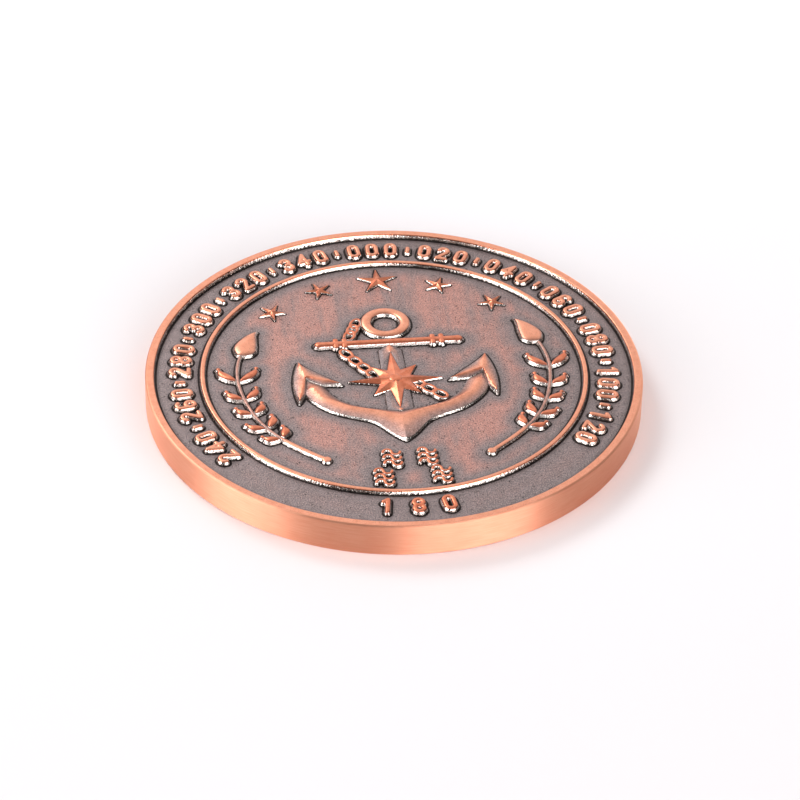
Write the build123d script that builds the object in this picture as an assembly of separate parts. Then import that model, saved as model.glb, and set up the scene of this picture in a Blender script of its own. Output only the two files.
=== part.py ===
"""Challenge coin: a struck disc with rims, rings and raised ornament on both faces.

Millimetres, +Z up.  The origin is the centre of the underside, the ornament's
upright direction is +Y, and the obverse (the decorated face) looks along +Z.
"""
from build123d import *
import os
from math import atan2, ceil, cos, sin, degrees, radians, pi

# ---- driving dimensions (mm, degrees) -------------------------------------
coin_diameter = 50.0
core_thickness = 2.5         # metal between the two sunk fields
obverse_depth = 0.5          # how far the obverse field lies below its rim
reverse_depth = 0.5
rim_width = 0.9              # from the coin's edge to the rim's inner wall
rim_draft = 0.08             # lean of the rim's inner wall
edge_round = 0.22            # rounding between the rim's top and the coin's edge

border_width = 4.4           # band between the rim and the inner ring
ring_crest_width = 0.5
ring_base_width = 0.9
ring_below_rim = 0.08

relief_below_rim = 0.05      # the raised ornament stays this far under the rim's top
low_relief_height = 0.16     # shank, which lies behind the rest
chain_height = 0.34
stem_height = 0.3

anchor_ring_radius = 2.0     # middle of the ring's bar
anchor_ring_width = 1.06
anchor_ring_clearance = 0.25  # from the stock to the ring
stock_length = 15.2
stock_width = 0.92
stock_end_radius = 0.52
collar_width = 0.62
collar_length = 1.7
collar_gap = 0.28            # between the two collars of a pair
collar_inset = 2.2           # from the stock's end to the outer collar's middle
collar_cover = 0.05          # metal of a collar over the stock
shank_top_width = 2.3
shank_bottom_width = 2.6
link_length = 2.0
link_width = 1.35
link_wire = 0.36
chain_collar_gap = 0.4       # from a collar to the middle of the link above it

compass_radius = 4.7
compass_short_radius = 3.3
compass_notch_radius = 1.7
compass_clearance = 0.45     # from the crown's throat to the star's lowest point
compass_wall = 0.26
hub_radius = 0.72

star_margin = 0.55           # from the inner ring's foot to the great star's tip
star_bearing_step = 22.5     # between neighbouring stars
great_star_radius = 2.1
small_star_radius = 1.4
star_notch_share = 0.3       # notch radius as a share of a star's radius
star_wall = 0.1

stem_width = 0.36
stalk_width = 0.5            # bare lower end of the stem
stalk_end_radius = 0.46
leaf_outer_width = 0.74      # a leaf's reach to each side of its own middle line
leaf_inner_width = 0.26
bead_radius = 0.27

numeral_height = 2.25
numeral_stroke = 0.45
numeral_margin = 0.72        # from the inner ring's foot to the numerals
numeral_gap = 0.6            # between neighbouring numerals of a number
foot_numeral_gap = 1.65      # wider setting of the number at the foot
number_bearing_step = 20     # between neighbouring numbers
tick_length = 1.1

wave_stroke = 0.3
wave_radius = 0.42
wave_row_pitch = 0.85
wave_rows = 3

wheel_radius = 8.0           # reverse: middle of the wheel's rim
wheel_rim_width = 1.6
wheel_spokes = 8
wheel_spoke_width = 0.8
wheel_handle_length = 3.4
wheel_handle_width = 1.2
wheel_hub_radius = 2.2
wheel_below_rim = 0.14

# ---- derived sizes ---------------------------------------------------------
coin_radius = coin_diameter / 2
obverse_field = reverse_depth + core_thickness
rim_inner_radius = coin_radius - rim_width
ring_radius = rim_inner_radius - border_width - ring_base_width / 2
ring_outer_radius = ring_radius + ring_base_width / 2
relief_height = obverse_depth - relief_below_rim
reverse_relief = reverse_depth - wheel_below_rim
numeral_radius = ring_outer_radius + numeral_margin + numeral_height / 2
bowl = (numeral_height - numeral_stroke) / 4     # radius of a numeral's bowls
numeral_width = 2 * bowl + numeral_stroke
star_arc_radius = ring_radius - ring_base_width / 2 - star_margin - great_star_radius


def at(x, y):
    """A place on the ornament's drawing, in hundredths of the inner ring's radius."""
    return (x * ring_radius / 100, y * ring_radius / 100)


def places(points):
    return [at(x, y) for x, y in points]


def polar(radius, bearing):
    """A point at a compass bearing, clockwise from +Y."""
    return (radius * sin(radians(bearing)), radius * cos(radians(bearing)))


def heading(run):
    """The direction of a vector, in degrees anticlockwise from +X."""
    return degrees(atan2(run.Y, run.X))


def raised(face, height):
    """Relief that stands on the obverse field."""
    return Pos(0, 0, obverse_field) * extrude(face, amount=height, dir=(0, 0, 1))


def stroke(start, end, width):
    """A straight stroke with round ends."""
    run = Vector(*end) - Vector(*start)
    middle = (Vector(*start) + Vector(*end)) / 2
    slot = SlotCenterToCenter(run.length, width)
    return Pos(middle.X, middle.Y) * Rot(0, 0, heading(run)) * slot


def bend(centre, radius, start, sweep, width):
    """A stroke along an arc, with round ends."""
    return SlotArc(CenterArc(centre, radius, start, sweep), width)


def hoop(radius, width):
    return Circle(radius + width / 2) - Circle(radius - width / 2)


def mirrored(shape):
    return mirror(shape, about=Plane.YZ)


# ---- blank, rims and rings ---------------------------------------------------
def blank():
    return Pos(0, 0, reverse_depth) * extrude(Circle(coin_radius), amount=core_thickness)


def rim(depth):
    """Rim that stands on a field at z = 0 and rises to z = depth."""
    crown = coin_radius - edge_round
    profile = make_face(Curve() + [
        Polyline((crown, depth), (rim_inner_radius, depth),
                 (rim_inner_radius - rim_draft, 0), (coin_radius, 0),
                 (coin_radius, depth - edge_round)),
        CenterArc((crown, depth - edge_round), edge_round, 0, 90)])
    return revolve(Plane.XZ * profile, Axis.Z)


def ring(height):
    """Ring with sloped walls that stands on a field at z = 0."""
    crest = ring_crest_width / 2
    foot = ring_base_width / 2
    profile = make_face(Polyline((ring_radius - foot, 0), (ring_radius + foot, 0),
                                 (ring_radius + crest, height), (ring_radius - crest, height),
                                 close=True))
    return revolve(Plane.XZ * profile, Axis.Z)


def on_reverse(shape):
    """Turn relief that was built upward over to the reverse field."""
    return Pos(0, 0, reverse_depth) * Rot(0, 180, 0) * shape


# ---- faceted stars -------------------------------------------------------------
def star_corners(radii, notch_radius):
    """Points and notches of a star in turn, clockwise from the one at the top."""
    half_pitch = 180 / len(radii)
    corners = []
    for number, radius in enumerate(radii):
        corners.append(polar(radius, 2 * number * half_pitch))
        corners.append(polar(notch_radius, (2 * number + 1) * half_pitch))
    return corners


def faceted_star(radii, notch_radius, wall, peak):
    """A star with a low wall, and a ridge from its peak to each point."""
    corners = star_corners(radii, notch_radius)
    low = [Vector(x, y, 0) for x, y in corners]
    high = [Vector(x, y, wall) for x, y in corners]
    top = Vector(0, 0, peak)
    faces = [Face(Wire.make_polygon(low))]
    for number in range(len(corners)):
        following = (number + 1) % len(corners)
        faces.append(Face(Wire.make_polygon([low[number], low[following],
                                             high[following], high[number]])))
        faces.append(Face(Wire.make_polygon([high[number], high[following], top])))
    return Solid(Shell(faces))


def star_at(radius, bearing):
    star = faceted_star([radius] * 5, radius * star_notch_share, star_wall, relief_height)
    x, y = polar(star_arc_radius, bearing)
    return Pos(x, y, obverse_field) * Rot(0, 0, -bearing) * star


def small_stars():
    return [star_at(small_star_radius, step * star_bearing_step) for step in (-2, -1, 1, 2)]


# ---- anchor ------------------------------------------------------------------------
stock_y = at(0, 27)[1]
anchor_ring_y = (stock_y + stock_width / 2 + anchor_ring_clearance
                 + anchor_ring_radius + anchor_ring_width / 2)
throat = at(0, -32.8)        # where the two arms meet above the crown
compass_y = throat[1] + compass_clearance + compass_radius
compass_radii = [compass_radius, compass_short_radius] * 4
inner_collar_x = stock_length / 2 - collar_inset - collar_width - collar_gap


def anchor_ring_face():
    return Pos(0, anchor_ring_y) * hoop(anchor_ring_radius, anchor_ring_width)


def stock_face():
    half = stock_length / 2 - stock_end_radius
    bar = Rectangle(2 * half, stock_width)
    ends = [Pos(side * half, 0) * Circle(stock_end_radius) for side in (-1, 1)]
    return Pos(0, stock_y) * (bar + ends)


def collar_faces():
    """Two collars near each end of the stock."""
    faces = Sketch()
    for side in (-1, 1):
        for number in (0, 1):
            x = side * (stock_length / 2 - collar_inset - number * (collar_width + collar_gap))
            faces += Pos(x, stock_y) * Rot(0, 0, 90) * SlotOverall(collar_length, collar_width)
    return faces


def collars():
    """Collars that reach over the stock, down to the field on both sides."""
    return raised(collar_faces(), relief_height) - raised(stock_face(), relief_height - collar_cover)


def fluke_face():
    """The left fluke: an arrowhead whose tip points up the coin."""
    tip, heel, notch, barb = places([(-49.4, 12.4), (-51.6, -22.5), (-47.6, -15), (-28.2, -8.4)])
    outer = Spline(tip, *places([(-52.3, 1), (-53, -8.3)]), heel)
    under = Polyline(heel, notch, *places([(-46.3, -2.2), (-42.1, -5.3), (-38.5, -7.6)]), barb)
    back = Spline(barb, *places([(-33.6, -3.2), (-41.9, 4.2)]), tip)
    return make_face(Curve() + [outer, under, back])


def half_arms_face():
    """The crown and the left arm, from the anchor's foot to under the fluke."""
    foot, cheek, shoulder = places([(0, -57.6), (-9, -47.8), (-15.5, -40.6)])
    notch, inner_end, inner_throat = places([(-47.6, -15), (-46.3, -2.2), (-38.5, -7.6)])
    beak = Spline(foot, cheek, shoulder, tangents=[(-1, 0.72), (-1, 0.62)])
    lower = Spline(shoulder, *places([(-33.1, -32.3), (-43.2, -23)]), notch,
                   tangents=[(-1, 0.62), (-0.35, 1)])
    upper = Spline(inner_throat, *places([(-31, -20.7), (-18.1, -28.2)]), throat,
                   tangents=[(0.4, -1), (1, -0.25)])
    return make_face(Curve() + [beak, lower, Polyline(notch, inner_end, inner_throat), upper,
                                Line(throat, foot)])


def arms_face():
    half = half_arms_face() - fluke_face()
    return half + mirrored(half)


def compass_face():
    """Footprint of the compass star, which covers what lies behind it."""
    outline = Polyline(*star_corners(compass_radii, compass_notch_radius), close=True)
    return Pos(0, compass_y) * make_face(outline)


def shank_outline():
    """The whole shank, from behind the stock down to the crown."""
    half_top, half_foot = shank_top_width / 2, shank_bottom_width / 2
    shoulder, foot = at(0, 20.4)[1], at(0, -38.8)[1]
    return make_face(Polyline((0, stock_y), (half_top, shoulder), (half_foot, foot),
                              (-half_foot, foot), (-half_top, shoulder), close=True))


def shank_face():
    return shank_outline() - stock_face() - compass_face() - arms_face()


def link_face(x, y, turn):
    outer = Ellipse(link_length / 2, link_width / 2)
    inner = Ellipse(link_length / 2 - link_wire, link_width / 2 - link_wire)
    return Pos(x, y) * Rot(0, 0, turn) * (outer - inner)


def chain_face(start, end):
    """A straight run of interlocked links, less what the pieces in front of it cover."""
    run = Vector(*end) - Vector(*start)
    gaps = ceil(run.length / (link_length - link_wire))
    face = Sketch()
    for number in range(gaps + 1):
        middle = Vector(*start) + run * (number / gaps)
        face += link_face(middle.X, middle.Y, heading(run))
    covers = [anchor_ring_face(), stock_face(), collar_faces(), compass_face(),
              arms_face(), fluke_face(), shank_outline()]
    for cover in covers:
        face -= cover
    return face


def chain_runs():
    """The three stretches of chain that show, each from one place to another."""
    ring_side = (-anchor_ring_radius - anchor_ring_width, anchor_ring_y)
    over_stock = (collar_width - inner_collar_x, stock_y + collar_length / 2 + chain_collar_gap)
    under_stock = (-inner_collar_x, stock_y - (collar_length + link_length) / 2)
    left_x, left_y = polar(compass_notch_radius + link_length / 2 - link_wire, -67.5)
    return {
        "chain_by_ring": (ring_side, over_stock),
        "chain_below_stock": (under_stock, (left_x, compass_y + left_y)),
        "chain_to_arm": ((-left_x, compass_y - left_y), at(21.7, -21.2)),
    }


def compass_star():
    star = faceted_star(compass_radii, compass_notch_radius, compass_wall, relief_height)
    socket = extrude(Circle(hub_radius), amount=2 * relief_height)
    return Pos(0, compass_y, obverse_field) * (star - socket)


def compass_hub():
    return Pos(0, compass_y, obverse_field) * extrude(Circle(hub_radius), amount=relief_height)


# ---- branches ------------------------------------------------------------------------
leaf_stations = [0.26, 0.365, 0.495, 0.62, 0.77]   # share of the stem's length
leaf_lengths = [12.1, 13.2, 12.4, 13.7, 16.8]      # hundredths of the inner ring's radius
outer_leaf_spread = 35                             # degrees from the stem
inner_leaf_spread = 45


def stem_line():
    """Centre line of the left branch, from its lower end up to the bud."""
    return Spline(*places([(-42.1, -70.9), (-53.7, -61.2), (-62.5, -52.5), (-72.9, -37.2),
                           (-79.3, -18.6), (-81.9, 1), (-78.6, 21.7)]))


def ribbon(line, start, end, width):
    """A strip of even width along part of a line."""
    steps = 12
    left, right = [], []
    for step in range(steps + 1):
        share = start + (end - start) * step / steps
        point, run = line @ share, line % share
        aside = Vector(-run.Y, run.X) * (width / 2)
        left.append(tuple(point + aside)[:2])
        right.append(tuple(point - aside)[:2])
    return make_face(Curve() + [Spline(*left), Line(left[-1], right[-1]),
                                Spline(*reversed(right)), Line(right[0], left[0])])


def stem_face():
    """A slim stem above the lowest leaves and a thicker bare stalk below them."""
    line = stem_line()
    bare = leaf_stations[0] - 0.02
    tip = line @ 0
    slim = ribbon(line, bare, 1, stem_width)
    stalk = ribbon(line, 0, bare + 0.01, stalk_width)
    return slim + stalk + Pos(tip.X, tip.Y) * Circle(stalk_end_radius)


def leaf_face(length):
    """A pod that grows along +X from the origin and ends in a bead."""
    neck = length - bead_radius
    back = Spline((0, 0), (neck * 0.5, leaf_inner_width), (neck, 0), tangents=[(1, 0.5), (1, -0.2)])
    belly = Spline((neck, 0), (neck * 0.6, -leaf_outer_width), (0, 0),
                   tangents=[(-0.3, -1), (-1, 0.6)])
    return make_face(Curve() + [back, belly]) + Pos(neck, 0) * Circle(bead_radius)


def leaf_faces():
    """Five pairs of leaves of the left branch."""
    line = stem_line()
    stem = stem_face()
    faces = []
    for share, length in zip(leaf_stations, leaf_lengths):
        root, run = line @ share, line % share
        inner = leaf_face(at(length, 0)[0])
        outer = mirror(inner, about=Plane.XZ)
        for leaf, spread in ((outer, outer_leaf_spread), (inner, -inner_leaf_spread)):
            grown = Pos(root.X, root.Y) * Rot(0, 0, heading(run) + spread) * leaf
            faces.append((grown - stem).faces().sort_by(SortBy.AREA)[-1])
    return faces


def bud_face():
    """A flame-shaped bud whose tip leans towards the middle of the coin."""
    tip, low_left, low_right = places([(-68.5, 41.9), (-81.2, 23.3), (-70.4, 24.3)])
    outer = Spline(tip, at(-78, 34.9), at(-81.9, 27.4), low_left, tangents=[(-1, -0.35), (0.2, -1)])
    base = Spline(low_left, at(-76.5, 20.4), low_right, tangents=[(0.25, -1), (0.5, 1)])
    inner = Spline(low_right, at(-69.8, 30), tip, tangents=[(0, 1), (0.6, 1)])
    return make_face(Curve() + [outer, base, inner])


# ---- border ------------------------------------------------------------------------------
def loop(y):
    return Pos(0, y) * hoop(bowl, numeral_stroke)


def numeral(sign):
    """One numeral, centred on the origin, from straight strokes and arcs."""
    width = numeral_stroke
    if sign == "0":
        outline = SlotOverall(numeral_height, numeral_width)
        inside = SlotOverall(numeral_height - 2 * width, numeral_width - 2 * width)
        return Rot(0, 0, 90) * (outline - inside)
    if sign == "1":
        return (stroke((0, -2 * bowl), (0, 2 * bowl), width)
                + stroke((0, 2 * bowl), (-0.9 * bowl, 1.25 * bowl), width))
    if sign == "2":
        turn = radians(-35)
        shoulder = (bowl * cos(turn), bowl + bowl * sin(turn))
        return (bend((0, bowl), bowl, 165, -200, width)
                + stroke(shoulder, (-bowl, -2 * bowl), width)
                + stroke((-bowl, -2 * bowl), (bowl, -2 * bowl), width))
    if sign == "3":
        return (bend((0, bowl), bowl, 155, -245, width)
                + bend((0, -bowl), bowl, 90, -245, width))
    if sign == "4":
        top, cross = (0.45 * bowl, 2 * bowl), -0.7 * bowl
        return (stroke(top, (0.45 * bowl, -2 * bowl), width)
                + stroke(top, (-1.1 * bowl, cross), width)
                + stroke((-1.1 * bowl, cross), (1.2 * bowl, cross), width))
    if sign == "6":
        return (loop(-bowl) + stroke((-bowl, -bowl), (-bowl, bowl), width)
                + bend((0, bowl), bowl, 180, -145, width))
    return loop(bowl) + loop(-bowl)


def number_faces(text, bearing, gap, upright_bearing):
    """A number along the border; it stands upright where upright_bearing is at the top."""
    turn_per_sign = degrees((numeral_width + gap) / numeral_radius)
    if upright_bearing:
        turn_per_sign = -turn_per_sign
    faces = []
    for place, sign in enumerate(text):
        turn = bearing + (place - 1) * turn_per_sign
        faces.append(Pos(*polar(numeral_radius, turn)) * Rot(0, 0, upright_bearing - turn)
                     * numeral(sign))
    return faces


def scale_numbers():
    """Bearings around the coin's head, with the tops of the numerals outward."""
    faces = []
    for step in range(-6, 7):
        bearing = step * number_bearing_step
        faces += number_faces(f"{round(bearing) % 360:03d}", bearing, numeral_gap, 0)
    return faces


def scale_ticks():
    faces = []
    for step in range(-6, 6):
        bearing = (step + 0.5) * number_bearing_step
        faces.append(Pos(*polar(numeral_radius, bearing)) * Rot(0, 0, 90 - bearing)
                     * SlotOverall(tick_length, numeral_stroke))
    return faces


# ---- wave marks at the foot of the field -----------------------------------------------------
def wave_mark():
    """Rows of two joined half circles, one up and one down."""
    mark = Sketch()
    for row in range(wave_rows):
        y = (row - (wave_rows - 1) / 2) * wave_row_pitch
        mark += bend((-wave_radius, y), wave_radius, 180, -180, wave_stroke)
        mark += bend((wave_radius, y), wave_radius, 180, 180, wave_stroke)
    return mark


def wave_marks():
    centres = places([(-9, -72.4), (9, -72.4), (-14.7, -87.6), (14.7, -87.6)])
    return [Pos(x, y) * wave_mark() for x, y in centres]


# ---- reverse -----------------------------------------------------------------------------------
def wheel_spoke_face():
    """A spoke from the hub to the wheel's rim."""
    reach = wheel_radius - wheel_rim_width / 2
    return (Pos(reach / 2, 0) * Rectangle(reach, wheel_spoke_width) - Circle(wheel_hub_radius)
            - hoop(wheel_radius, wheel_rim_width))


def wheel_handle_face():
    """A handle with a rounded grip beyond the wheel's rim."""
    rim_edge = wheel_radius + wheel_rim_width / 2
    grip_length = wheel_handle_length * 2 / 3
    reach = rim_edge + wheel_handle_length
    neck = Pos((wheel_radius + reach) / 2, 0) * Rectangle(reach - wheel_radius, wheel_spoke_width)
    grip = Pos(reach - grip_length / 2, 0) * SlotOverall(grip_length, wheel_handle_width)
    return neck - Circle(rim_edge) + grip


def around(face):
    """Copies of a piece of the wheel, one for each spoke."""
    return [Rot(0, 0, 360 / wheel_spokes * number) * extrude(face, amount=reverse_relief)
            for number in range(wheel_spokes)]


# ---- write the parts ----------------------------------------------------------------------------
def save(name, shapes):
    """Write one node: a single solid, or a group of separate solids."""
    solids = []
    for shape in shapes if isinstance(shapes, list) else [shapes]:
        solids.extend(shape.solids())
    export_step(Compound(solids) if len(solids) > 1 else solids[0], f"parts/{name}.step")


def main():
    os.makedirs("parts", exist_ok=True)
    on_field = Pos(0, 0, obverse_field)
    save("coin_blank", blank())
    save("obverse_rim", on_field * rim(obverse_depth))
    save("inner_ring", on_field * ring(obverse_depth - ring_below_rim))

    save("anchor_ring", raised(anchor_ring_face(), relief_height))
    save("anchor_stock", raised(stock_face(), relief_height - collar_cover))
    save("stock_collars", collars())
    save("anchor_shank", raised(shank_face(), low_relief_height))
    save("anchor_arms", raised(arms_face(), relief_height))
    save("left_fluke", raised(fluke_face(), relief_height))
    save("right_fluke", raised(mirrored(fluke_face()), relief_height))
    for name, (start, end) in chain_runs().items():
        save(name, raised(chain_face(start, end), chain_height))

    save("compass_star", compass_star())
    save("compass_hub", compass_hub())
    save("great_star", star_at(great_star_radius, 0))
    save("small_stars", small_stars())

    stem, bud, leaves = stem_face(), bud_face(), leaf_faces()
    save("left_stem", raised(stem - bud, stem_height))
    save("right_stem", raised(mirrored(stem - bud), stem_height))
    save("left_bud", raised(bud, relief_height))
    save("right_bud", raised(mirrored(bud), relief_height))
    save("left_leaves", [raised(leaf, relief_height) for leaf in leaves])
    save("right_leaves", [raised(mirrored(leaf), relief_height) for leaf in leaves])

    foot_number = number_faces("180", 180, foot_numeral_gap, 180)
    save("bearing_numbers", [raised(face, relief_height) for face in scale_numbers()])
    save("bearing_ticks", [raised(face, relief_height) for face in scale_ticks()])
    save("foot_number", [raised(face, relief_height) for face in foot_number])
    save("wave_marks", [raised(face, chain_height) for face in wave_marks()])

    wheel_hub = extrude(Circle(wheel_hub_radius), amount=reverse_relief)
    wheel_rim = extrude(hoop(wheel_radius, wheel_rim_width), amount=reverse_relief)
    save("reverse_rim", on_reverse(rim(reverse_depth)))
    save("reverse_ring", on_reverse(ring(reverse_relief)))
    save("reverse_wheel_rim", on_reverse(wheel_rim))
    save("reverse_wheel_hub", on_reverse(wheel_hub))
    save("reverse_wheel_spokes", [on_reverse(spoke) for spoke in around(wheel_spoke_face())])
    save("reverse_wheel_handles", [on_reverse(grip) for grip in around(wheel_handle_face())])


main()
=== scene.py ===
"""Challenge coin: struck copper with an antique finish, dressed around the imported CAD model.

The relief is rebuilt from the outlines of the CAD nodes, with sloped walls and domed, ridged or
faceted tops.  Heights, widths and reaches are in millimetres until a mesh is made.
"""
import bpy
import numpy as np
from math import atan2, cos, hypot, pi, radians, sin, tau
from mathutils import Matrix, Vector
from mathutils.geometry import delaunay_2d_cdt
from mathutils.kdtree import KDTree


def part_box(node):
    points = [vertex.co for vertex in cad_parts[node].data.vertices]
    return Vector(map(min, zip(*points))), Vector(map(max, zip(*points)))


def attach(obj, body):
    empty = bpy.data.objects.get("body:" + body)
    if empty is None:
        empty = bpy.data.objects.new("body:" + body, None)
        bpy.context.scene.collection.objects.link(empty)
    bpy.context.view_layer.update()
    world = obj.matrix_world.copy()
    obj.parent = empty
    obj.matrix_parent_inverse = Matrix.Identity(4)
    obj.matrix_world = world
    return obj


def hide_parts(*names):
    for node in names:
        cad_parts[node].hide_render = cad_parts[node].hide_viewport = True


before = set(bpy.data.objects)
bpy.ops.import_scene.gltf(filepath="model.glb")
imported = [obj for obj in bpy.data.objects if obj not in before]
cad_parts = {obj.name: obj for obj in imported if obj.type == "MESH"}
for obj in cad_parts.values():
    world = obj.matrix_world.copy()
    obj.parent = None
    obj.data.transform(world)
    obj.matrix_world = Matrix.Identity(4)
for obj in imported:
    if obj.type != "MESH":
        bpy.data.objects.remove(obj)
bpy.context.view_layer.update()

MM = 0.001                   # a millimetre, in the scene's metres

# ---- sizes read from the frame (mm) ------------------------------------------
coin_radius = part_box("coin_blank")[1].x / MM
obverse_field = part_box("coin_blank")[1].z / MM
reverse_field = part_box("coin_blank")[0].z / MM
rim_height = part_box("obverse_rim")[1].z / MM - obverse_field
ring_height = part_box("inner_ring")[1].z / MM - obverse_field
reverse_ring_height = reverse_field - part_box("reverse_ring")[0].z / MM
ring_foot = 0.45             # half of the ring's width where it meets the field
ring_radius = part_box("inner_ring")[1].x / MM - ring_foot
relief_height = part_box("anchor_arms")[1].z / MM - obverse_field
shank_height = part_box("anchor_shank")[1].z / MM - obverse_field
stock_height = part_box("anchor_stock")[1].z / MM - obverse_field
chain_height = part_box("chain_to_arm")[1].z / MM - obverse_field
stem_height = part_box("left_stem")[1].z / MM - obverse_field
wheel_height = reverse_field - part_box("reverse_wheel_rim")[0].z / MM

# ---- how the relief is finished (mm) -----------------------------------------
level_gap = 0.001            # faces and points this near a level plane lie in it
far_away = 1e6               # more than any distance on the coin
tiny = 1e-6                  # keeps a sum of distances over 0
sample_step = 0.05           # spacing of the samples that follow an outline
outline_margin = 0.45        # room for the samples outside an outline
wall_reach = 0.2             # how far a wall slopes out from its edge
# A wall falls through these points: shares of its reach and of its edge's height, with the polish
# there.  Polish is 1 where metal is rubbed bright, 0 in the dark finish and -1 or less in black:
# painted shade at the foot of the wall, along with the dark oxide that gathers there.
wall_share = [0.0, 0.08, 0.4, 0.72, 0.85, 0.95, 1.2, 1.5, 1.75]
wall_rise = [1.0, 0.93, 0.565, 0.2, 0.09, 0.035, 0.006, 0.004, -0.02]
wall_polish_and_shade = [1.0, 0.85, 0.12, -0.7, -1.2, -1.3, -1.3, -0.9, 0.4]
foot_shade_height = 0.27          # lower edges than this have less painted shade (black) at their feet
edge_drop = 0.03             # how far the edges of rims and rings lie below their tops
edge_steps = [0.035, 0.075, 0.1]      # depths of the lines just inside a ridged shape's edge
dome_start = 0.04            # depth of the first line on a domed top
dome_step = 0.072            # spacing of the lines on a domed top
ridge_step = 0.25            # spacing of the loose points on a ridged top
ridge_gap = 0.04             # least distance from those lines to a ridge's end


# ---- outlines of the CAD nodes -----------------------------------------------
def mesh_values(items, name, kind, width):
    """One property of a mesh's parts, as rows of some width."""
    values = np.empty(len(items) * width, kind)
    items.foreach_get(name, values)
    return values.reshape(-1, width)


def flat_triangles(node, plane_height, facing):
    """Triangles of a node that lie in a level plane, as corners in millimetres."""
    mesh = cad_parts[node].data
    mesh.calc_loop_triangles()
    spots = mesh_values(mesh.vertices, "co", np.float32, 3).astype(float) / MM
    corners = spots[mesh_values(mesh.loop_triangles, "vertices", np.int32, 3)]
    upward = mesh_values(mesh.loop_triangles, "normal", np.float32, 3)[:, 2] * facing
    in_plane = abs(corners[:, :, 2] - plane_height).max(1) < level_gap
    right_way = upward > 0.9
    return list(corners[in_plane & right_way])


def outline_loops(triangles):
    """The outlines of patches of triangles: one list of closed loops for each patch."""
    def key(point):
        return (round(float(point[0]), 4), round(float(point[1]), 4))

    edges, owner = {}, {}

    def root(item):
        while owner[item] != item:
            item = owner[item]
        return item

    for points in triangles:
        names = [key(point) for point in points]
        for name in names:
            owner.setdefault(name, name)
        for first, second in zip(names, names[1:] + names[:1]):
            owner[root(first)] = root(second)
            if (second, first) in edges:
                del edges[(second, first)]
            else:
                edges[(first, second)] = True
    following = {first: second for first, second in edges}
    patches = {}
    while following:
        start, here = next(iter(following.items()))
        del following[start]
        loop = [start]
        while here != start:
            loop.append(here)
            here = following.pop(here)
        patches.setdefault(root(start), []).append(loop)
    return list(patches.values())


def node_outlines(node, plane_height, facing):
    """Outlines of a node's faces in a level plane, with outer loops anticlockwise from above."""
    patches = outline_loops(flat_triangles(node, plane_height, facing))
    return patches if facing > 0 else [[loop[::-1] for loop in loops] for loops in patches]


def loop_area(loop):
    """Area inside a closed loop, negative where it runs clockwise."""
    x, y = np.array(loop).T
    return 0.5 * np.sum(x * np.roll(y, -1) - np.roll(x, -1) * y)


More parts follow.
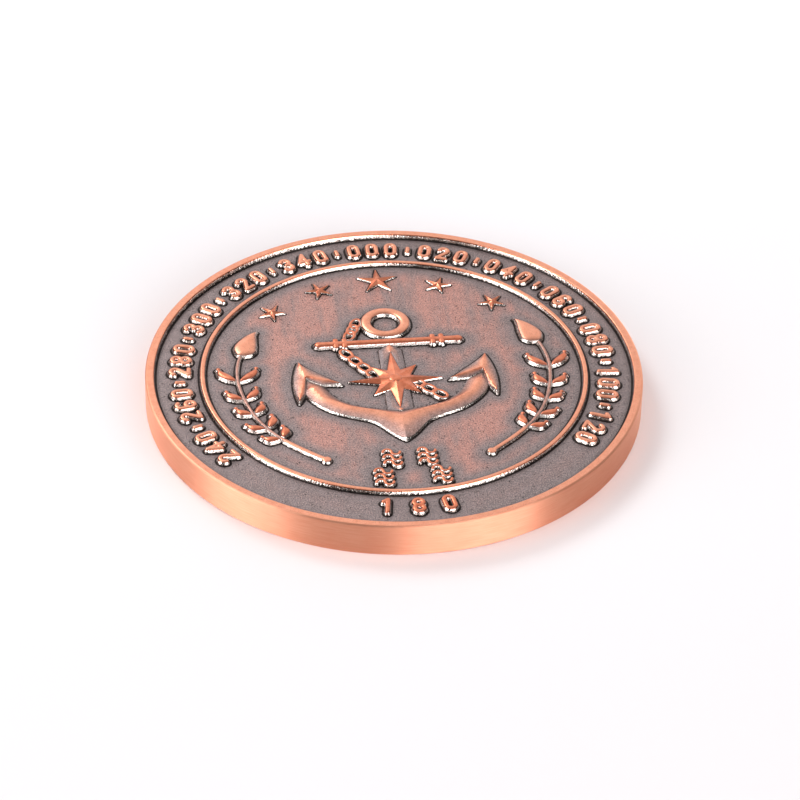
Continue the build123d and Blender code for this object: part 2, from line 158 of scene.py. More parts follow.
class Outline:
    """Distances to a flat outline, sampled on a grid and positive inside."""

    def __init__(self, loops):
        points = np.concatenate([np.array(loop) for loop in loops])
        self.low = points.min(0) - outline_margin
        counts = np.ceil((points.max(0) + outline_margin - self.low) / sample_step).astype(int) + 1
        x = self.low[0] + sample_step * np.arange(counts[0])
        y = self.low[1] + sample_step * np.arange(counts[1])
        x, y = np.meshgrid(x, y)
        nearest = np.full(x.shape, far_away)
        inside = np.zeros(x.shape, bool)
        for loop in loops:
            for (ax, ay), (bx, by) in zip(loop, loop[1:] + loop[:1]):
                dx, dy = bx - ax, by - ay
                share = np.clip(((x - ax) * dx + (y - ay) * dy) / (dx * dx + dy * dy), 0, 1)
                gap = (x - ax - share * dx) ** 2 + (y - ay - share * dy) ** 2
                np.minimum(nearest, gap, out=nearest)
                if ay != by:
                    inside ^= ((ay > y) != (by > y)) & (x < ax + dx * (y - ay) / dy)
        values = np.sqrt(nearest) * np.where(inside, 1, -1)
        # Each sample is eased towards its four neighbours, which rounds the ridges and corners.
        padded = np.pad(values, 1, mode="edge")
        around = padded[:-2, 1:-1] + padded[2:, 1:-1] + padded[1:-1, :-2] + padded[1:-1, 2:]
        self.values = 0.5 * values + 0.125 * around

    def depth(self, points):
        """Distances at some points, between the samples."""
        column, row = ((points - self.low) / sample_step).T
        rows, columns = self.values.shape
        i = np.clip(column.astype(int), 0, columns - 2)
        j = np.clip(row.astype(int), 0, rows - 2)
        u, v = column - i, row - j
        return ((self.values[j, i] * (1 - u) + self.values[j, i + 1] * u) * (1 - v)
                + (self.values[j + 1, i] * (1 - u) + self.values[j + 1, i + 1] * u) * v)

    def spaced_points(self, least_depth, spacing):
        """Points on an even grid, where they lie deeper than some depth."""
        every = int(spacing / sample_step)
        rows, columns = self.values.shape
        return [(self.low[0] + column * sample_step, self.low[1] + row * sample_step)
                for row in range(0, rows, every) for column in range(0, columns, every)
                if self.values[row, column] > least_depth]

    def level_lines(self, level):
        """Closed lines along which the distance has one value."""
        values, width = self.values - level, self.values.shape[1]
        high = values > 0
        corners = (high[:-1, :-1].astype(int) + 2 * high[:-1, 1:] + 4 * high[1:, 1:]
                   + 8 * high[1:, :-1])
        joined = {}

        def crossing(row, column, upright):
            """Number of the crossing on a cell's lower side, or on its left side if upright."""
            return ((row * width + column) << 1) | upright

        for row, column in np.argwhere((corners > 0) & (corners < 15)):
            below, above = crossing(row, column, 0), crossing(row + 1, column, 0)
            left, right = crossing(row, column, 1), crossing(row, column + 1, 1)
            case = corners[row, column]
            pairs = {1: [(below, left)], 2: [(right, below)], 3: [(right, left)],
                     4: [(above, right)], 5: [(below, right), (above, left)],
                     6: [(above, below)], 7: [(above, left)]}
            found = pairs[case] if case <= 7 else [(b, a) for a, b in pairs[15 - case]]
            for first, second in found:
                joined.setdefault(first, []).append(second)
                joined.setdefault(second, []).append(first)

        def place(name):
            spot, upright = name >> 1, name & 1
            row, column = divmod(spot, width)
            here = values[row, column]
            there = values[row + upright, column + 1 - upright]
            share = here / (here - there)
            return (self.low[0] + sample_step * (column + (1 - upright) * share),
                    self.low[1] + sample_step * (row + upright * share))

        lines, used = [], set()
        for start in joined:
            if start in used:
                continue
            used.add(start)
            line, here = [start], joined[start][0]
            while here not in used:
                used.add(here)
                line.append(here)
                ahead = [n for n in joined[here] if n not in used]
                if not ahead:
                    break
                here = ahead[0]
            lines.append(thinned([place(name) for name in line]))
        return [line for line in lines if len(line) > 2]


def thinned(line, turn=radians(6), shortest=0.02, longest=0.3):
    """A closed line with fewer points where it runs straight."""
    kept = [line[0]]
    heading = None
    for here, following in zip(line[1:], line[2:] + line[:1]):
        run = hypot(here[0] - kept[-1][0], here[1] - kept[-1][1])
        if run < shortest:
            continue
        ahead = atan2(following[1] - here[1], following[0] - here[0])
        if heading is None:
            heading = atan2(here[1] - kept[-1][1], here[0] - kept[-1][0])
        if abs((ahead - heading + pi) % tau - pi) > turn or run > longest:
            kept.append(here)
            heading = ahead
    return kept


# ---- meshes ------------------------------------------------------------------
def guide_lines(outline, levels, crests, spread, wall):
    """Points and edges that the triangles of a raised shape keep to."""
    points, edges = [], []

    def add_line(line, closed):
        first, count = len(points), len(line)
        points.extend(line)
        runs = count if closed else count - 1
        edges.extend((first + n, first + (n + 1) % count) for n in range(runs))

    for level in [-wall * share for share in reversed(wall_share)] + levels:
        for line in outline.level_lines(level):
            add_line(line, True)
    deepest = levels[-1]
    for crest in crests:
        inside = [p for p in crest if outline.depth(np.array([p]))[0] > deepest + ridge_gap]
        if len(inside) > 1:
            add_line(inside, False)
    if spread:
        points.extend(outline.spaced_points(deepest + spread / 2, spread))
    return points, edges


def relief_mesh(outline, top, levels, crests, spread, wall):
    """Vertices (rows of x, y, height and polish, which below 0 is painted shade) and triangles of
    one raised shape.

    top(x, y, depth) gives the height over the field and the polish at a depth inside the outline.
    """
    points, edges = guide_lines(outline, levels, crests, spread, wall)
    whole_hull, closeness = 0, 1e-5
    made, _, triangles, _, _, _ = delaunay_2d_cdt([Vector(p) for p in points], edges, [],
                                                  whole_hull, closeness)
    flat, triangles = np.array(made), np.array(triangles)
    foot = -wall * wall_share[-1]
    triangles = triangles[outline.depth(flat[triangles].mean(1)) > foot]
    depth = outline.depth(flat)
    x, y = flat.T
    height, shine = top(x, y, np.maximum(depth, 0))
    rise = np.interp(-depth / wall, wall_share, wall_rise)
    # Polish down a wall: rubbed bright near the top, and below 0 black painted shade, with dark
    # oxide, at the foot; under low edges the black is weaker.
    rubbed = np.interp(-depth / wall, wall_share, wall_polish_and_shade)
    foot_shade = np.clip(height / foot_shade_height, 0, 1)
    on_wall = np.where(rubbed > 0, np.minimum(rubbed, shine), rubbed * foot_shade)
    polish_and_shade = np.where(depth < 0, on_wall, shine)
    return np.column_stack([x, y, height * rise, polish_and_shade]), triangles


def gathered(patches):
    """The vertices and faces of several patches as one set."""
    starts = np.cumsum([0] + [len(vertices) for vertices, _ in patches])
    faces = [faces + start for (_, faces), start in zip(patches, starts)]
    return np.concatenate([vertices for vertices, _ in patches]), np.concatenate(faces)


def add_object(name, data):
    """An object of the scene that holds some data."""
    made = bpy.data.objects.new(name, data)
    bpy.context.scene.collection.objects.link(made)
    return made


def new_piece(name, vertices, faces, materials, sharp_angle=None):
    """A smooth-shaded piece made from rows of x, y, z and polish, which below 0 is painted shade.
    """
    vertices = np.asarray(vertices)
    mesh = bpy.data.meshes.new(name)
    mesh.from_pydata((vertices[:, :3] * MM).tolist(), [], [list(map(int, f)) for f in faces])
    mesh.attributes.new("polish_and_shade", "FLOAT", "POINT").data.foreach_set("value", vertices[:, 3])
    mesh.shade_smooth()
    if sharp_angle:
        mesh.set_sharp_from_angle(angle=sharp_angle)
    for material in materials:
        mesh.materials.append(material)
    return add_object(name, mesh)


def seat(piece, node):
    """Let a piece stand for its CAD node."""
    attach(piece, "root")
    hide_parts(node)


def dress_relief(node, top, levels, crests=(), spread=None, wall=wall_reach, from_top=False,
                 reverse=False, finish=None):
    """Replace a relief node with one mesh that has sloped walls and a shaped top.

    The outline is that of the node's foot on the field, or of its top.
    """
    if reverse:
        outlines = node_outlines(node, reverse_field, 1)
    elif from_top:
        outlines = node_outlines(node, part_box(node)[1].z / MM, 1)
    else:
        outlines = node_outlines(node, obverse_field, -1)
    vertices, faces = gathered([relief_mesh(Outline(loops), top, levels, crests, spread, wall)
                                for loops in outlines])
    if reverse:
        vertices[:, 2] = reverse_field - vertices[:, 2]
        faces = faces[:, ::-1]
    else:
        vertices[:, 2] += obverse_field
    seat(new_piece(f"{node}_struck", vertices, faces, [finish or copper]), node)


def revolved(name, profile, materials, side_faces=(), segments=384, sharp_angle=radians(50)):
    """A closed profile of (radius, height, polish) points turned about the coin's axis; polish
    below 0 is painted shade.

    The profile's side faces, given by number, take the second material.
    """
    angles = np.arange(segments) * tau / segments
    count = len(profile)
    vertices = [(r * cos(a), r * sin(a), z, p) for a in angles for r, z, p in profile]
    faces = []
    for turn in range(segments):
        here, there = turn * count, (turn + 1) % segments * count
        for n in range(count):
            after = (n + 1) % count
            faces.append((here + n, there + n, there + after, here + after))
    piece = new_piece(name, vertices, faces, materials, sharp_angle)
    for number, polygon in enumerate(piece.data.polygons):
        if number % count in side_faces:
            polygon.material_index = 1
    return piece


# ---- node helpers ------------------------------------------------------------
class Nodes:
    """Short calls for building a shader."""

    def __init__(self, tree):
        self.tree = tree
        tree.nodes.clear()

    def node(self, kind, inputs=None, **settings):
        """A node with some settings.  Its inputs are values or the outputs of other nodes."""
        made = self.tree.nodes.new(kind)
        for name, value in settings.items():
            setattr(made, name, value)
        for name, value in (inputs or {}).items():
            if isinstance(value, bpy.types.NodeSocket):
                self.tree.links.new(value, made.inputs[name])
            else:
                made.inputs[name].default_value = value
        return made

    def coordinates(self, name):
        return self.node("ShaderNodeTexCoord").outputs[name]

    def attribute(self, name):
        """A value that is kept on the mesh."""
        return self.node("ShaderNodeAttribute", attribute_name=name).outputs["Fac"]

    def math(self, operation, first, second=0.0, clamp=False):
        made = self.node("ShaderNodeMath", {0: first, 1: second}, operation=operation,
                         use_clamp=clamp)
        return made.outputs[0]

    def times(self, first, second, clamp=False):
        return self.math("MULTIPLY", first, second, clamp)

    def uneven(self, value, noise, amount):
        """A value moved up and down by a noise."""
        return self.math("ADD", value, self.times(self.math("SUBTRACT", noise, 0.5), amount))

    def ramp(self, value, low, high, to_low=0.0, to_high=1.0):
        """A value moved smoothly from one range to another, and kept inside it."""
        made = self.node("ShaderNodeMapRange", {0: value, 1: low, 2: high, 3: to_low, 4: to_high},
                         interpolation_type="SMOOTHSTEP")
        return made.outputs[0]

    def window(self, value, span, soft):
        """1 between two limits, falling to 0 over a soft edge."""
        low, high = span
        up = self.ramp(value, low - soft, low + soft)
        down = self.ramp(value, high - soft, high + soft, 1.0, 0.0)
        return self.times(up, down)

    def blend(self, share, first, second):
        """A value between two values."""
        return self.node("ShaderNodeMix", {0: share, 2: first, 3: second}).outputs[0]

    def mix(self, share, first, second):
        """A colour between two colours."""
        made = self.node("ShaderNodeMix", {0: share, 6: first, 7: second}, data_type="RGBA")
        return made.outputs[2]

    def toned(self, noise, tones, low=0.3, high=0.7):
        """Two tones mixed by a noise."""
        return self.mix(self.ramp(noise, low, high), *tones)

    def noise(self, coordinates, scale, detail=2.0, roughness=0.5):
        made = self.node("ShaderNodeTexNoise", {"Vector": coordinates, "Scale": scale,
                                                "Detail": detail, "Roughness": roughness})
        return made.outputs[0]

    def stretched(self, coordinates, scale, turn):
        made = self.node("ShaderNodeMapping", {"Vector": coordinates, "Scale": scale,
                                               "Rotation": (0, 0, turn)})
        return made.outputs[0]


def srgb(red, green, blue):
    """Linear colour of 0 to 255 screen values."""
    shares = [value / 255 for value in (red, green, blue)]
    return tuple(s / 12.92 if s <= 0.04045 else ((s + 0.055) / 1.055) ** 2.4 for s in shares) + (1,)


def new_material(name):
    """An empty material and the calls that fill it."""
    material = bpy.data.materials.new(name)
    material.use_nodes = True
    return material, Nodes(material.node_tree)


# ---- materials ---------------------------------------------------------------
# Scale, detail and roughness of each noise.  Its values lie mostly between 0.3 and 0.7.
grain_noise = (8000, 2, 0.7)
ragged_noise = (4500, 2, 0.6)
mottle_noise = (1400, 4, 0.6)
cloud_noise = (150, 3, 0.55)
streak_noise = (1.0, 3, 0.6)
streak_scale = (900, 110, 500)      # the streaks run across the coin, as the cloth did
streak_turn = radians(-40)
brush_noise = (1.0, 4, 0.65)
brush_scale = (9.0, 9000.0)         # along the edge's turn and over its height
edge_cloud_noise = (160, 2)

# A pair of colours is the darker and the lighter tone of a mottled surface.
patina = (srgb(137, 126, 126), srgb(151, 139, 139))             # the dark finish on the fields
rubbed_patina = (srgb(200, 145, 133), srgb(214, 157, 143))      # where the cloth reached it
glint_wall_metal = (srgb(206, 188, 180), srgb(242, 234, 228))         # steep walls: pale metal, painted so that their reflections show as white glints
light_grain = srgb(226, 194, 187)
dark_grain = srgb(84, 66, 62)
red_grain = srgb(150, 88, 68)
# Painted shade, with the dark oxide of the hollows: the first colour darkens the hollows, the
# second is the black at the feet of the walls.
hollow_shade_colour = srgb(46, 36, 33)
crevice_shade_colour = srgb(26, 18, 16)
brushed_metal = (srgb(246, 167, 135), srgb(254, 188, 156))
brushed_cloud = srgb(240, 156, 126)

hollow_shade_reach = 0.7 * MM               # hollows narrower than this get painted shade, with their dark oxide
grain_depth = 0.05 * MM             # of the grain's bumps
brush_depth = 0.03 * MM             # of the brush lines


def field_colour(n, place, openness, grain, mottle):
    """The dark finish, rubbed through in patches out in the open, and grainy all over."""
    cloud = n.noise(place, *cloud_noise)
    streaks = n.noise(n.stretched(place, streak_scale, streak_turn), *streak_noise)
    patches = n.math("ADD", n.times(cloud, 0.5), n.times(streaks, 0.5))
    rub = n.times(openness, n.ramp(patches, 0.34, 0.62, 0.2, 1.0))
    rub = n.times(rub, n.ramp(grain, 0.38, 0.62, 0.35, 1.55), clamp=True)
    colour = n.mix(rub, n.toned(mottle, patina), n.toned(mottle, rubbed_patina))
    colour = n.mix(n.ramp(grain, 0.52, 0.68, to_high=0.6), colour, light_grain)
    return n.mix(n.ramp(grain, 0.48, 0.32, to_high=0.8), colour, dark_grain)


def raised_colour(n, level, grain, mottle, bright, leaning_shade):
    """Metal rubbed bright, with painted shade: a deeper colour where it leans."""
    colour = n.toned(mottle, bright)
    # Painted shade: the further the metal leans from level, the deeper its colour.
    colour = n.mix(n.ramp(level, 0.98, 0.86, to_high=0.6), colour, leaning_shade)
    return n.mix(n.ramp(grain, 0.48, 0.32, to_high=0.4), colour, red_grain)


def shade_hollows_and_crevices(n, colour, polish_and_shade, ragged):
    """Painted shade with dark oxide: darker in the hollows that the AO node finds, and black with a
    ragged edge in the crevices.
    """
    hollow = n.node("ShaderNodeAmbientOcclusion", {"Distance": hollow_shade_reach}, samples=8)
    hollow_shade = n.times(n.ramp(hollow.outputs["AO"], 1.0, 0.65), n.ramp(polish_and_shade, 0.5, 0.1))
    colour = n.mix(n.times(hollow_shade, 0.7), colour, hollow_shade_colour)
    crevice = n.uneven(polish_and_shade, ragged, 2.6)
    return n.mix(n.ramp(crevice, -0.3, -0.6, to_high=0.93), colour, crevice_shade_colour)


def struck_copper(name, bright, leaning_shade):
    """Copper plate with dark oxide and painted shade in the recesses, painted shade on its slopes
    and pale walls for white glints, rubbed bright on what stands up.
    """
    material, n = new_material(name)
    place = n.coordinates("Object")
    polish_and_shade, openness = n.attribute("polish_and_shade"), n.attribute("openness")
    geometry = n.node("ShaderNodeNewGeometry")
    normal = n.node("ShaderNodeSeparateXYZ", {0: geometry.outputs["True Normal"]})
    level = n.math("ABSOLUTE", normal.outputs[2])
    steep = n.ramp(level, 0.74, 0.58)
    grain, mottle, ragged = (n.noise(place, *values)
                             for values in (grain_noise, mottle_noise, ragged_noise))
    raised = n.ramp(n.uneven(polish_and_shade, mottle, 0.3), 0.1, 0.85)

    colour = n.mix(raised, field_colour(n, place, openness, grain, mottle),
                   raised_colour(n, level, grain, mottle, bright, leaning_shade))
    # Painted highlight colour: steep walls turn to pale metal, so that their reflections show as
    # white glints.
    glint_wall = n.times(steep, n.ramp(polish_and_shade, 0.8, 0.45))
    colour = n.mix(glint_wall, colour, n.toned(mottle, glint_wall_metal, 0.35, 0.6))
    colour = shade_hollows_and_crevices(n, colour, polish_and_shade, ragged)

    rough_field, rough_raised, rough_wall = 0.50, 0.33, 0.1
    rough = n.uneven(n.ramp(raised, 0.0, 1.0, rough_field, rough_raised), grain, 0.15)
    rough = n.blend(steep, rough, rough_wall)

    bump_field, bump_raised, bump_wall = 0.5, 0.06, 0.7
    strength = n.math("ADD", n.ramp(raised, 0.0, 1.0, bump_field, bump_raised),
                      n.times(steep, bump_wall))
    bump = n.node("ShaderNodeBump", {"Height": n.blend(steep, grain, ragged),
                                     "Strength": strength, "Distance": grain_depth})
    shader = n.node("ShaderNodeBsdfPrincipled", {"Base Color": colour, "Roughness": rough,
                                                 "Metallic": 1.0, "Normal": bump.outputs[0]})
    n.node("ShaderNodeOutputMaterial", {0: shader.outputs[0]})
    return material


def edge_copper():
    """Satin copper, brushed round the coin's edge."""
    material, n = new_material("edge_copper")
    place = n.coordinates("Object")
    split = n.node("ShaderNodeSeparateXYZ", {0: place})
    turn = n.math("ARCTAN2", split.outputs[1], split.outputs[0])
    around = n.node("ShaderNodeCombineXYZ", {0: n.times(turn, brush_scale[0]),
                                             1: n.times(split.outputs[2], brush_scale[1])})
    lines = n.noise(around.outputs[0], *brush_noise)
    broad = n.noise(place, *edge_cloud_noise)
    colour = n.mix(n.ramp(broad, 0.35, 0.75, to_high=0.35), n.toned(lines, brushed_metal),
                   brushed_cloud)
    rough = n.ramp(lines, 0.3, 0.7, 0.47, 0.55)
    bump = n.node("ShaderNodeBump", {"Height": lines, "Strength": 0.12, "Distance": brush_depth})
    tangent = n.node("ShaderNodeTangent", direction_type="RADIAL", axis="Z")
    shader = n.node("ShaderNodeBsdfPrincipled", {
        "Base Color": colour, "Metallic": 1.0, "Roughness": rough, "Anisotropic": 0.95,
        "Anisotropic Rotation": 0.25, "Normal": bump.outputs[0], "Tangent": tangent.outputs[0]})
    n.node("ShaderNodeOutputMaterial", {0: shader.outputs[0]})
    return material


copper = struck_copper("struck_copper", bright=(srgb(241, 161, 130), srgb(249, 173, 142)),
                       leaning_shade=srgb(214, 118, 84))
deep_copper = struck_copper("deep_copper", bright=(srgb(222, 126, 92), srgb(238, 148, 115)),
                            leaning_shade=srgb(192, 94, 64))
edge = edge_copper()


# ---- blank, rims and rings (mm) ----------------------------------------------
field_step = 0.4             # spacing of the rings of points on the coin's fields
field_margin = 0.5           # least distance from these rings to the coin's side
pinhole = 0.01               # radius of the innermost ring of points
border_rub = 0.15            # how much of the cloth's rubbing reached the border
trace_step = 0.3             # spacing of the points that stand for the relief's outlines
no_shelter = ("coin_blank", "great_star", "small_stars")        # rubbed right up to these
rim_width = 0.86             # of the rim's top, corner included
corner_radius = 0.22         # of the rim's outer corner
corner_steps = 8
corner_lead = (0.04, 0.03)   # how far below and beside the corner its neighbour points lie
edge_band = 0.2              # how far in over the corner the brushed finish reaches
# The rim's shoulder: distance outward from the inner edge of its top, and drop below the top.
rim_shoulder = [(0.1, 0), (0.07, 0), (0.035, 0.012)]
# The ring's crest: distance to each side of its middle, and drop below the top.
ring_crest = [(0.0, 0), (0.08, 0), (0.12, 0.003), (0.165, 0.014)]
ring_half_top = 0.2          # from the ring's middle to the edges that its walls start at


def blank_profile():
    """The coin between its fields, with rings of points that carry the rubbing."""
    radii = [pinhole] + list(np.arange(field_step, coin_radius - field_margin, field_step))
    top = [(r, obverse_field, 0) for r in reversed(radii)]
    bottom = [(r, reverse_field, 0) for r in radii]
    return bottom + [(coin_radius, reverse_field, 0), (coin_radius, obverse_field, 0)] + top


def open_shares(spots, field, facing, near=0.4, far=2.3):
    """How far places on a field lie from the larger relief: 0 beside it, 1 out in the open."""
    loops = [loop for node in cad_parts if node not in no_shelter
             for patch in outline_loops(flat_triangles(node, field, facing)) for loop in patch]
    edges = [point for loop in loops for point in stepped(loop + loop[:1], trace_step)]
    tree = KDTree(len(edges))
    for number, (x, y) in enumerate(edges):
        tree.insert((x, y, 0), number)
    tree.balance()
    gaps = np.array([tree.find((x, y, 0))[2] for x, y in spots])
    share = np.clip((gaps - near) / (far - near), 0, 1)
    in_border = np.hypot(*spots.T) > ring_radius
    return share * share * (3 - 2 * share) * np.where(in_border, border_rub, 1)


def rub_open_field(piece):
    """The cloth that rubbed the finish reached the open field, not what lies by the relief."""
    spots = mesh_values(piece.data.vertices, "co", np.float32, 3) / MM
    shares = np.zeros(len(spots))
    for field, facing in ((obverse_field, -1), (reverse_field, 1)):
        level = abs(spots[:, 2] - field) < level_gap
        shares[level] = open_shares(spots[level][:, :2], field, facing)
    piece.data.attributes.new("openness", "FLOAT", "POINT").data.foreach_set("value", shares)


def placed(points, field, sign):
    """Points of a profile set on a field, facing up or down."""
    on_field = [(r, field + sign * z, polish_and_shade) for r, z, polish_and_shade in points]
    return on_field if sign > 0 else on_field[::-1]


def wall_points(edge_radius, edge_height, outward):
    """The slope from an edge down to its hollow foot, outward (1) or inward (-1)."""
    return [(edge_radius + outward * wall_reach * share, edge_height * rise, polish_and_shade)
            for share, rise, polish_and_shade in zip(wall_share, wall_rise, wall_polish_and_shade)]


def rim_profile(field, sign):
    """Rim with a flat top, a rounded outer corner and a sloped inner wall."""
    corner, top = corner_radius, rim_height
    below, beside = corner_lead
    edge_radius = coin_radius - rim_width
    points = [(coin_radius, 0, 0), (coin_radius, top - corner - below, 1)]
    for step in range(corner_steps + 1):
        turn = step / corner_steps * pi / 2
        points.append((coin_radius - corner + corner * cos(turn),
                       top - corner + corner * sin(turn), 1))
    points.append((coin_radius - corner - beside, top, 1))
    points += [(edge_radius + outward, top - drop, 1) for outward, drop in rim_shoulder]
    points += wall_points(edge_radius, top - edge_drop, -1)
    return placed(points, field, sign)


def ring_profile(field, sign, height):
    """Ring with a softly rounded crest and hollow feet."""
    half = [(aside, height - drop, 1) for aside, drop in ring_crest]
    half += wall_points(ring_half_top, height - edge_drop, 1)
    right = [(ring_radius + aside, z, polish_and_shade) for aside, z, polish_and_shade in half]
    left = [(ring_radius - aside, z, polish_and_shade) for aside, z, polish_and_shade in half[1:]]
    return placed(right[::-1] + left, field, sign)


def dress_round_parts():
    profile = blank_profile()
    side = [n for n, (r, z, _) in enumerate(profile) if r == coin_radius and z == reverse_field]
    blank = revolved("coin_blank_struck", profile, [copper, edge], side)
    rub_open_field(blank)
    seat(blank, "coin_blank")
    for node, field, sign in (("obverse_rim", obverse_field, 1),
                              ("reverse_rim", reverse_field, -1)):
        profile = rim_profile(field, sign)
        outside = [r > coin_radius - edge_band for r, _, _ in profile]
        side = [n for n in range(len(profile)) if outside[n] and outside[(n + 1) % len(profile)]]
        seat(revolved(f"{node}_struck", profile, [copper, edge], side), node)
    for node, field, sign, height in (("inner_ring", obverse_field, 1, ring_height),
                                      ("reverse_ring", reverse_field, -1, reverse_ring_height)):
        seat(revolved(f"{node}_struck", ring_profile(field, sign, height), [copper]), node)


# ---- tops of the relief ------------------------------------------------------
def domed_top(height, rise, reach, edge_shine=0.6):
    """Rises from its edge to full height and full polish over some reach."""
    def top(x, y, depth):
        share = np.clip(1 - depth / reach, 0, 1)
        round_share = 1 - np.sqrt(1 - share ** 2)
        return height - rise * round_share, 1 - (1 - edge_shine) * share ** 2
    return top


def dome_levels(reach):
    """Depths of the lines that a dome's triangles follow."""
    return list(np.arange(dome_start, reach, dome_step)) + [reach]


def dress_domed(node, height, rise, reach, edge_shine=0.6, lines_to=None, **settings):
    """Dress a relief node with a domed top, a few hundredths over the CAD's or level with it.

    The lines of its triangles may end before the dome's reach.
    """
    dress_relief(node, domed_top(height, rise, reach, edge_shine), dome_levels(lines_to or reach),
                 **settings)


def on_drawing(points):
    """Places on the ornament's drawing, in hundredths of the ring's radius."""
    return [(x * ring_radius / 100, y * ring_radius / 100) for x, y in points]


def stepped(points, step=0.15):
    """A line cut into short runs."""
    line = [points[0]]
    for (ax, ay), (bx, by) in zip(points, points[1:]):
        runs = max(1, round(hypot(bx - ax, by - ay) / step))
        line += [(ax + (bx - ax) * n / runs, ay + (by - ay) * n / runs) for n in range(1, runs + 1)]
    return line


def distance_to_lines(x, y, lines):
    """Distance of each place to the nearest of some lines."""
    nearest = np.full(np.shape(x), far_away)
    for line in lines:
        for (ax, ay), (bx, by) in zip(line, line[1:]):
            dx, dy = bx - ax, by - ay
            share = np.clip(((x - ax) * dx + (y - ay) * dy) / (dx * dx + dy * dy), 0, 1)
            nearest = np.minimum(nearest, np.hypot(x - ax - share * dx, y - ay - share * dy))
    return nearest


def ridged_top(height, edge_height, ridges, edge_shine=0.25, rubbed=None, bend=0.85,
               shine_bend=1.6):
    """Rises from an edge height, which may vary, to ridges.  The rubbed ridges are brightest."""
    def nearness(x, y, depth, lines):
        return depth / (depth + distance_to_lines(x, y, lines) + tiny)

    def top(x, y, depth):
        low = edge_height(x, y) if callable(edge_height) else edge_height
        raised = nearness(x, y, depth, ridges) ** bend
        shine = nearness(x, y, depth, rubbed or ridges) ** shine_bend
        return low + (height - low) * raised, edge_shine + (1 - edge_shine) * shine
    return top


def faceted_top(centre, corners, edge_height, peak, bend=0.8, ray_width=0.4, dulling=0.25):
    """Planes from each edge of a star up to its middle, brightest along the rays."""
    turns = [atan2(y - centre[1], x - centre[0]) for x, y in corners]
    order = sorted(range(len(corners)), key=lambda n: turns[n])
    spots = np.array([(corners[n][0] - centre[0], corners[n][1] - centre[1]) for n in order])
    limits = np.array([turns[n] for n in order])

    def top(x, y, depth):
        x, y = x - centre[0], y - centre[1]
        sector = np.searchsorted(limits, np.arctan2(y, x)) - 1
        (ax, ay), (bx, by) = spots[sector % len(spots)].T, spots[(sector + 1) % len(spots)].T
        outward = ((x * by - y * bx) + (ax * y - ay * x)) / (ax * by - ay * bx)
        inward = np.clip(1 - outward, 0, 1)
        beside = distance_to_lines(x, y, [((0, 0), spot) for spot in spots])
        return (edge_height + (peak - edge_height) * inward ** bend,
                1 - dulling * np.clip(beside / ray_width, 0, 1))
    return top


# ---- anchor ------------------------------------------------------------------
ridge_rise = 0.03            # the ridges of arms and flukes stand this far over the CAD's tops
shank_rise, shank_drop = 0.1, 0.06      # of its ridge over the CAD's top, and of its edges under it
arms_edge_height = 0.25      # of the arms' outer edges
arms_edge_drop = 0.17        # of their upper edges under the outer ones
arms_blend = 0.6             # width over which the one changes to the other
fluke_edge_height = 0.24
arm_ridge = on_drawing([(0, -38.8), (-12.9, -33.1), (-25.8, -28.9), (-38.8, -20.2), (-43.9, -10.3)])
crown_ridge = on_drawing([(0, -38.8), (0, -57.6)])
shank_ridge = on_drawing([(0, 27), (0, -57.6)])
fluke_ridges = [on_drawing([(-49.4, 12.4), (-46.4, -0.5), (-51.6, -22.5)]),
                on_drawing([(-46.4, -0.5), (-28.2, -8.4)])]


def mirrored(line):
    """The same line on the right-hand side of the anchor."""
    return [(-x, y) for x, y in line]


def arms_edge(x, y):
    """The arms' upper edges are lower and softer than the outer ones."""
    ridge_x, ridge_y = np.array(arm_ridge).T
    over = y - np.interp(np.abs(x), -ridge_x, ridge_y)
    share = np.clip(over / arms_blend + 0.5, 0, 1)
    return arms_edge_height - arms_edge_drop * share


def dress_ridged(node, top, lines, levels=edge_steps, **settings):
    """Dress a relief node with a ridged top."""
    dress_relief(node, top, levels, [stepped(line) for line in lines], ridge_step, **settings)


def dress_anchor():
    ridges = [arm_ridge, mirrored(arm_ridge), crown_ridge]
    dress_ridged("anchor_arms", ridged_top(relief_height + ridge_rise, arms_edge, ridges,
                                           edge_shine=0.3, rubbed=ridges[:2]), ridges)
    for node, lines in (("left_fluke", fluke_ridges),
                        ("right_fluke", [mirrored(line) for line in fluke_ridges])):
        dress_ridged(node, ridged_top(relief_height + ridge_rise, fluke_edge_height, lines), lines)
    dress_ridged("anchor_shank", ridged_top(shank_height + shank_rise, shank_height - shank_drop,
                                            [shank_ridge], edge_shine=0.05),
                 [shank_ridge], edge_steps[:2], wall=0.1)
    dress_domed("anchor_stock", stock_height + 0.05, rise=0.24, reach=0.45, edge_shine=0.5,
                finish=deep_copper)
    dress_domed("stock_collars", relief_height, rise=0.14, reach=0.31, edge_shine=0.5,
                lines_to=0.29, from_top=True, finish=deep_copper)
    dress_domed("anchor_ring", relief_height + 0.04, rise=0.2, reach=0.6, edge_shine=0.5)
    for node in ("chain_by_ring", "chain_below_stock", "chain_to_arm"):
        dress_domed(node, chain_height + 0.06, rise=0.1, reach=0.18, edge_shine=0.2,
                    lines_to=0.16, wall=0.12, finish=deep_copper)


# ---- stars -------------------------------------------------------------------
star_wall = 0.12             # how far their walls slope out
star_levels = [0.05]         # depth of the one line inside their edges
star_crease = radians(24)    # facets that meet at more than this stay crisp
# Each star's node, the heights of its edges and its middle, and its finish.
star_kinds = (("great_star", 0.18, 0.46, copper), ("small_stars", 0.18, 0.37, copper),
              ("compass_star", 0.2, rim_height, deep_copper))


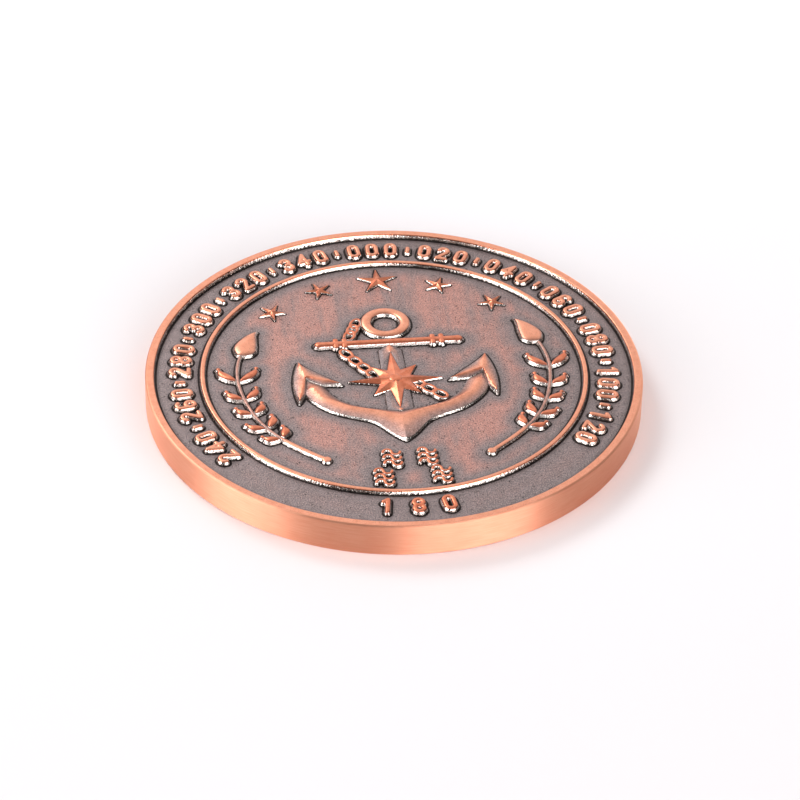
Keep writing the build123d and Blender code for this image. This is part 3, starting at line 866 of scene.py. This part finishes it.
def dress_stars():
    """Each star keeps the CAD's corners, and its facets meet in crisp ridges."""
    for node, edge_height, peak, finish in star_kinds:
        patches = []
        for loops in node_outlines(node, obverse_field, -1):
            corners = max(loops, key=lambda loop: abs(loop_area(loop)))
            centre = tuple(np.mean(corners, 0))
            top = faceted_top(centre, corners, edge_height, peak)
            rays = [stepped([centre, corner]) for corner in corners]
            patches.append(relief_mesh(Outline([corners]), top, star_levels, rays, None, star_wall))
        vertices, faces = gathered(patches)
        vertices[:, 2] += obverse_field
        seat(new_piece(f"{node}_struck", vertices, faces, [finish], star_crease), node)
    dress_domed("compass_hub", rim_height, rise=0.15, reach=0.5, edge_shine=0.4, finish=deep_copper)


# ---- branches, border and marks ----------------------------------------------
stem_shine = 0.5             # the stem's share of the stalk's polish
stalk_to_stem = [-0.58 * ring_radius, -0.5 * ring_radius]      # the polish fades between these


def stem_top(x, y, depth):
    """The bare stalk is rubbed bright, and the stem between the leaves stays duller."""
    dome = domed_top(stem_height + 0.05, rise=0.1, reach=0.22, edge_shine=0.45)
    height, shine = dome(x, y, depth)
    return height, shine * np.interp(y, stalk_to_stem, [1.0, stem_shine])


def dress_branches():
    for side in ("left", "right"):
        dress_relief(f"{side}_stem", stem_top, dome_levels(0.2), wall=0.13)
        dress_domed(f"{side}_leaves", relief_height + 0.03, rise=0.24, reach=0.45, edge_shine=0.4,
                    finish=deep_copper)
        dress_domed(f"{side}_bud", relief_height + 0.04, rise=0.22, reach=0.9, edge_shine=0.4)


def dress_border():
    for node, finish in (("bearing_numbers", copper), ("bearing_ticks", copper),
                         ("foot_number", deep_copper)):
        dress_domed(node, relief_height, rise=0.1, reach=0.2, edge_shine=0.7, finish=finish)
    dress_domed("wave_marks", chain_height + 0.05, rise=0.06, reach=0.1, edge_shine=0.5, wall=0.14,
                finish=deep_copper)


def dress_reverse():
    for part in ("rim", "hub", "spokes", "handles"):
        dress_domed(f"reverse_wheel_{part}", wheel_height, rise=0.08, reach=0.35, reverse=True)


dress_round_parts()
dress_anchor()
dress_stars()
dress_branches()
dress_border()
dress_reverse()


# ---- camera ------------------------------------------------------------------
camera_turn = radians(7.2)      # the coin lies turned by this much to the camera
camera_elevation = 0.64613      # radians over the table
camera_roll = 0.02256           # radians
camera_distance = 353.86        # mm
camera_aim = (-0.643, -0.2225)  # where the coin's middle lies to the right of and below the axis
camera_sensor, camera_lens = 36, 157.5
camera_clip = (0.01, 100)       # m


def turned_to_camera(vector):
    """A direction or place as the camera's side sees it, turned with the camera round the coin."""
    return Matrix.Rotation(-camera_turn, 3, "Z") @ vector


def place_camera():
    """The photo's camera, fitted to the coin's rim, inner rim edge and ring."""
    forward = Vector((0, cos(camera_elevation), -sin(camera_elevation)))
    upright = Vector((0, sin(camera_elevation), cos(camera_elevation)))
    across = Vector((1, 0, 0))
    right = across * cos(camera_roll) + upright * sin(camera_roll)
    down = across * sin(camera_roll) - upright * cos(camera_roll)
    eye = -(right * camera_aim[0] + down * camera_aim[1] + forward * camera_distance)
    right, down, forward, eye = (turned_to_camera(v) for v in (right, down, forward, eye))
    data = bpy.data.cameras.new("photo_camera")
    data.sensor_width, data.lens = camera_sensor, camera_lens
    data.clip_start, data.clip_end = camera_clip
    camera = add_object("photo_camera", data)
    axes = Matrix((right, -down, -forward)).transposed().to_4x4()
    camera.matrix_world = Matrix.Translation(eye * MM) @ axes
    bpy.context.scene.camera = camera


# ---- floor and light ---------------------------------------------------------
floor_reach = 20             # m to each side
floor_drop = 0.00002         # m, which keeps the floor clear of the coin's underside
floor_colour = (0.885, 0.852, 0.868, 1)
# Bearings in the world: degrees to the right of straight towards the camera.
soft_boxes = ((7, 62), (-84, -46))
box_edge = 3
box_strength = 4.5
dark_span = (-150, 130)      # the dark gaps lie within this, between the soft boxes
dark_edge = 8
key_spot = (-0.28, 0.32, 0.42)      # m, seen from the camera's side
key_size = 0.25              # m
key_power = 1.2              # W


def make_floor():
    """The pale table."""
    mesh = bpy.data.meshes.new("floor")
    corners = [(-1, -1), (1, -1), (1, 1), (-1, 1)]
    mesh.from_pydata([(x * floor_reach, y * floor_reach, 0) for x, y in corners], [],
                     [(0, 1, 2, 3)])
    material, n = new_material("pale_floor")
    cloth = n.node("ShaderNodeBsdfDiffuse", {"Color": floor_colour})
    n.node("ShaderNodeOutputMaterial", {0: cloth.outputs[0]})
    mesh.materials.append(material)
    floor = add_object("floor", mesh)
    floor.location.z = -floor_drop


def make_world():
    """A pale room with two soft boxes and dark gaps low in front of the coin."""
    world = bpy.data.worlds.new("studio")
    world.use_nodes = True
    bpy.context.scene.world = world
    n = Nodes(world.node_tree)
    turned = n.node("ShaderNodeVectorRotate",
                    {"Vector": n.coordinates("Generated"), "Angle": camera_turn},
                    rotation_type="Z_AXIS").outputs[0]
    split = n.node("ShaderNodeSeparateXYZ", {0: turned})
    to_right = split.outputs[0]
    bearing = n.math("DEGREES", n.math("ARCTAN2", to_right, n.times(split.outputs[1], -1.0)))
    up = n.math("DEGREES", n.math("ARCSINE", split.outputs[2]))
    boxes = n.math("ADD", *[n.window(bearing, span, box_edge) for span in soft_boxes])
    # The gaps fade out upwards, and are half as dark at the horizon.
    gaps = n.times(n.window(bearing, dark_span, dark_edge), n.math("SUBTRACT", 1.0, boxes))
    gaps = n.times(gaps, n.ramp(up, 28, 46, 0.95, 0.0))
    gaps = n.times(gaps, n.ramp(up, 1, 8, 0.5, 1.0))
    # The room darkens towards its ceiling and to the right.
    room = n.math("SUBTRACT", n.ramp(up, 38, 70, 1.0, 0.4), n.times(to_right, 0.14))
    room = n.times(room, n.math("SUBTRACT", 1.0, gaps))
    level = n.math("ADD", room, n.times(boxes, n.ramp(up, 15, 50, box_strength, 0.0)))
    background = n.node("ShaderNodeBackground", {"Color": (1, 1, 1, 1), "Strength": level})
    n.node("ShaderNodeOutputWorld", {0: background.outputs[0]})


def make_key_light():
    """A round lamp above and behind the coin, on the left."""
    data = bpy.data.lights.new("key", "AREA")
    data.shape = "DISK"
    data.size = key_size
    data.energy = key_power
    lamp = add_object("key", data)
    spot = turned_to_camera(Vector(key_spot))
    lamp.location = spot
    lamp.rotation_euler = spot.to_track_quat("Z", "Y").to_euler()


place_camera()
make_floor()
make_world()
make_key_light()
bpy.context.scene.view_settings.view_transform = "Standard"
